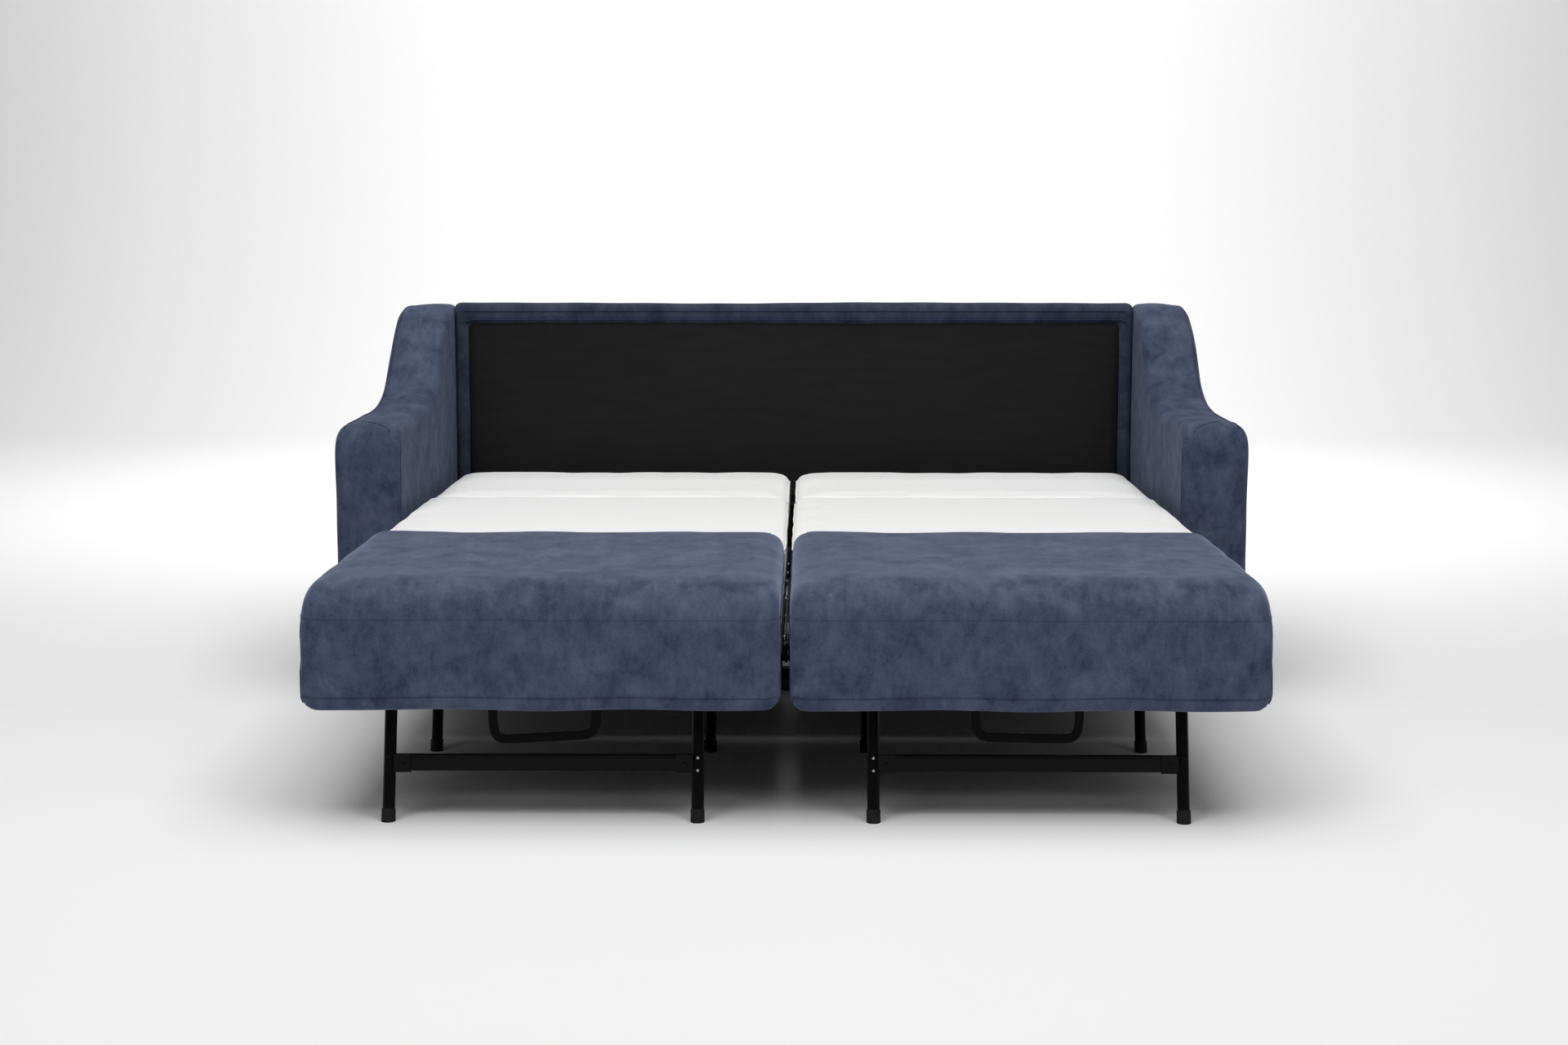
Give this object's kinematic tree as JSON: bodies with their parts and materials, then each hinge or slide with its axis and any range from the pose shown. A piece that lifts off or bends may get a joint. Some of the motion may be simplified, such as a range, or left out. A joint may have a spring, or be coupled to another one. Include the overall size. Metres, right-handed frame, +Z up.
{
  "type": "sofa bed",
  "caption": "Low sofa whose seat pulls out into side-by-side single beds, each with a foot section in sofa fabric, white mattress sections and folding legs.",
  "frame": {"origin": "on the floor, under the centre of the open bed's outline", "axes": "+Y from the foot of the open bed towards the sofa's back, +Z up, +X to the right seen from the foot"},
  "size_m": [2, 2.18, 0.83],
  "materials": {
    "sofa_fabric": "slate-navy brushed velvet",
    "mattress_fabric": "white woven mattress ticking",
    "black_lining": "matte black lining cloth",
    "webbing": "black folded webbing",
    "black_steel": "satin black powder coat",
    "zinc_steel": "zinc plated",
    "timber": "unfinished softwood and plywood",
    "deck_board": "plywood faced in black film",
    "rubber": "matte",
    "black_plastic": "moulded",
    "nylon": "moulded nylon"
  },
  "bodies": {
    "root": {"arm_frames": "timber", "arm_cover_left": "sofa_fabric", "arm_cover_right": "sofa_fabric", "back_cover": "sofa_fabric", "back_frame": "timber", "back_panel": "black_lining", "rear_panel": "sofa_fabric", "base_rails": "black_steel", "trolley_tracks": "black_steel", "sofa_feet": "black_plastic", "head_brackets": "black_steel", "track_bolts": "zinc_steel"},
    "left_trolley": {"trolley_left": "black_steel", "trolley_glides_left": "nylon"},
    "left_lift_arm_front": {"lift_arms_front_left": "black_steel"},
    "left_lift_arm_rear": {"lift_arms_rear_left": "black_steel"},
    "left_middle": {"middle_frame_left": "black_steel", "middle_pins_left": "zinc_steel", "middle_deck_left": "deck_board", "middle_mattress_left": "mattress_fabric"},
    "left_swing_link_front": {"swing_links_front_left": "black_steel"},
    "left_swing_link_rear": {"swing_links_rear_left": "black_steel"},
    "left_seat": {"seat_frame_left": "black_steel", "seat_pins_left": "zinc_steel", "seat_deck_left": "deck_board", "seat_cushion_left": "sofa_fabric"},
    "left_front_legs": {"front_legs_left": "black_steel", "front_leg_bar_left": "black_steel", "front_leg_feet_left": "rubber", "front_leg_fittings_left": "black_steel"},
    "left_rear_legs": {"rear_legs_left": "black_steel", "rear_leg_feet_left": "rubber"},
    "left_strap": {"pull_strap_left": "webbing"},
    "left_head": {"head_frame_left": "black_steel", "head_deck_left": "deck_board", "head_mattress_left": "mattress_fabric"},
    "right_trolley": {"trolley_right": "black_steel", "trolley_glides_right": "nylon"},
    "right_lift_arm_front": {"lift_arms_front_right": "black_steel"},
    "right_lift_arm_rear": {"lift_arms_rear_right": "black_steel"},
    "right_middle": {"middle_frame_right": "black_steel", "middle_pins_right": "zinc_steel", "middle_deck_right": "deck_board", "middle_mattress_right": "mattress_fabric"},
    "right_swing_link_front": {"swing_links_front_right": "black_steel"},
    "right_swing_link_rear": {"swing_links_rear_right": "black_steel"},
    "right_seat": {"seat_frame_right": "black_steel", "seat_pins_right": "zinc_steel", "seat_deck_right": "deck_board", "seat_cushion_right": "sofa_fabric"},
    "right_front_legs": {"front_legs_right": "black_steel", "front_leg_bar_right": "black_steel", "front_leg_feet_right": "rubber", "front_leg_fittings_right": "black_steel"},
    "right_rear_legs": {"rear_legs_right": "black_steel", "rear_leg_feet_right": "rubber"},
    "right_strap": {"pull_strap_right": "webbing"},
    "right_head": {"head_frame_right": "black_steel", "head_deck_right": "deck_board", "head_mattress_right": "mattress_fabric"}
  },
  "joints": [
    {"name": "left_bed_slide", "type": "slide", "parent": "root", "child": "left_trolley", "axis": [0, 1, 0], "range_m": [0, 0.783]},
    {"name": "left_lift_front", "type": "hinge", "parent": "left_trolley", "child": "left_lift_arm_front", "pos_m": [-0.428, 0.107, 0.075], "axis": [1, 0, 0], "range_deg": [0, 82.4]},
    {"name": "left_lift_rear", "type": "hinge", "parent": "left_trolley", "child": "left_lift_arm_rear", "pos_m": [-0.428, 0.238, 0.075], "axis": [1, 0, 0], "range_deg": [0, 82.4]},
    {"name": "left_middle_level", "type": "hinge", "parent": "left_lift_arm_front", "child": "left_middle", "pos_m": [-0.428, 0.107, 0.265], "axis": [-1, 0, 0], "range_deg": [0, 82.4]},
    {"name": "left_swing_front", "type": "hinge", "parent": "left_middle", "child": "left_swing_link_front", "pos_m": [-0.428, -0.335, 0.279], "axis": [-1, 0, 0], "range_deg": [0, 157.52]},
    {"name": "left_swing_rear", "type": "hinge", "parent": "left_middle", "child": "left_swing_link_rear", "pos_m": [-0.428, -0.105, 0.279], "axis": [-1, 0, 0], "range_deg": [0, 157.52]},
    {"name": "left_seat_level", "type": "hinge", "parent": "left_swing_link_front", "child": "left_seat", "pos_m": [-0.428, -0.64405, 0.25473], "axis": [1, 0, 0], "range_deg": [0, 157.52]},
    {"name": "left_front_legs_fold", "type": "hinge", "parent": "left_seat", "child": "left_front_legs", "pos_m": [-0.428, -0.99, 0.265], "axis": [1, 0, 0], "range_deg": [0, 105.6]},
    {"name": "left_rear_legs_fold", "type": "hinge", "parent": "left_seat", "child": "left_rear_legs", "pos_m": [-0.428, -0.422, 0.265], "axis": [-1, 0, 0], "range_deg": [0, 72.81]},
    {"name": "left_head_flap", "type": "hinge", "parent": "root", "child": "left_head", "pos_m": [-0.428, 0.88, 0.32], "axis": [-1, 0, 0], "range_deg": [0, 90]},
    {"name": "left_strap_swing", "type": "hinge", "parent": "left_seat", "child": "left_strap", "pos_m": [-0.428, -1.016, 0.286], "axis": [1, 0, 0], "range_deg": [-5, 12]},
    {"name": "right_bed_slide", "type": "slide", "parent": "root", "child": "right_trolley", "axis": [0, 1, 0], "range_m": [0, 0.783]},
    {"name": "right_lift_front", "type": "hinge", "parent": "right_trolley", "child": "right_lift_arm_front", "pos_m": [0.428, 0.107, 0.075], "axis": [1, 0, 0], "range_deg": [0, 82.4]},
    {"name": "right_lift_rear", "type": "hinge", "parent": "right_trolley", "child": "right_lift_arm_rear", "pos_m": [0.428, 0.238, 0.075], "axis": [1, 0, 0], "range_deg": [0, 82.4]},
    {"name": "right_middle_level", "type": "hinge", "parent": "right_lift_arm_front", "child": "right_middle", "pos_m": [0.428, 0.107, 0.265], "axis": [-1, 0, 0], "range_deg": [0, 82.4]},
    {"name": "right_swing_front", "type": "hinge", "parent": "right_middle", "child": "right_swing_link_front", "pos_m": [0.428, -0.335, 0.279], "axis": [-1, 0, 0], "range_deg": [0, 157.52]},
    {"name": "right_swing_rear", "type": "hinge", "parent": "right_middle", "child": "right_swing_link_rear", "pos_m": [0.428, -0.105, 0.279], "axis": [-1, 0, 0], "range_deg": [0, 157.52]},
    {"name": "right_seat_level", "type": "hinge", "parent": "right_swing_link_front", "child": "right_seat", "pos_m": [0.428, -0.64405, 0.25473], "axis": [1, 0, 0], "range_deg": [0, 157.52]},
    {"name": "right_front_legs_fold", "type": "hinge", "parent": "right_seat", "child": "right_front_legs", "pos_m": [0.428, -0.99, 0.265], "axis": [1, 0, 0], "range_deg": [0, 105.6]},
    {"name": "right_rear_legs_fold", "type": "hinge", "parent": "right_seat", "child": "right_rear_legs", "pos_m": [0.428, -0.422, 0.265], "axis": [-1, 0, 0], "range_deg": [0, 72.81]},
    {"name": "right_head_flap", "type": "hinge", "parent": "root", "child": "right_head", "pos_m": [0.428, 0.88, 0.32], "axis": [-1, 0, 0], "range_deg": [0, 90]},
    {"name": "right_strap_swing", "type": "hinge", "parent": "right_seat", "child": "right_strap", "pos_m": [0.428, -1.016, 0.286], "axis": [1, 0, 0], "range_deg": [-5, 12]}
  ],
  "couplings": [
    {"joint": "left_lift_front", "follows": "left_bed_slide", "rad_per_m": 1.8367},
    {"joint": "left_lift_rear", "follows": "left_bed_slide", "rad_per_m": 1.8367},
    {"joint": "left_middle_level", "follows": "left_bed_slide", "rad_per_m": 1.8367},
    {"joint": "left_swing_front", "follows": "left_bed_slide", "rad_per_m": 3.5112},
    {"joint": "left_swing_rear", "follows": "left_bed_slide", "rad_per_m": 3.5112},
    {"joint": "left_seat_level", "follows": "left_bed_slide", "rad_per_m": 3.5112},
    {"joint": "left_front_legs_fold", "follows": "left_bed_slide", "rad_per_m": 2.3539},
    {"joint": "left_rear_legs_fold", "follows": "left_bed_slide", "rad_per_m": 1.6229},
    {"joint": "left_head_flap", "follows": "left_bed_slide", "rad_per_m": 2.0061},
    {"joint": "right_lift_front", "follows": "right_bed_slide", "rad_per_m": 1.8367},
    {"joint": "right_lift_rear", "follows": "right_bed_slide", "rad_per_m": 1.8367},
    {"joint": "right_middle_level", "follows": "right_bed_slide", "rad_per_m": 1.8367},
    {"joint": "right_swing_front", "follows": "right_bed_slide", "rad_per_m": 3.5112},
    {"joint": "right_swing_rear", "follows": "right_bed_slide", "rad_per_m": 3.5112},
    {"joint": "right_seat_level", "follows": "right_bed_slide", "rad_per_m": 3.5112},
    {"joint": "right_front_legs_fold", "follows": "right_bed_slide", "rad_per_m": 2.3539},
    {"joint": "right_rear_legs_fold", "follows": "right_bed_slide", "rad_per_m": 1.6229},
    {"joint": "right_head_flap", "follows": "right_bed_slide", "rad_per_m": 2.0061}
  ]
}
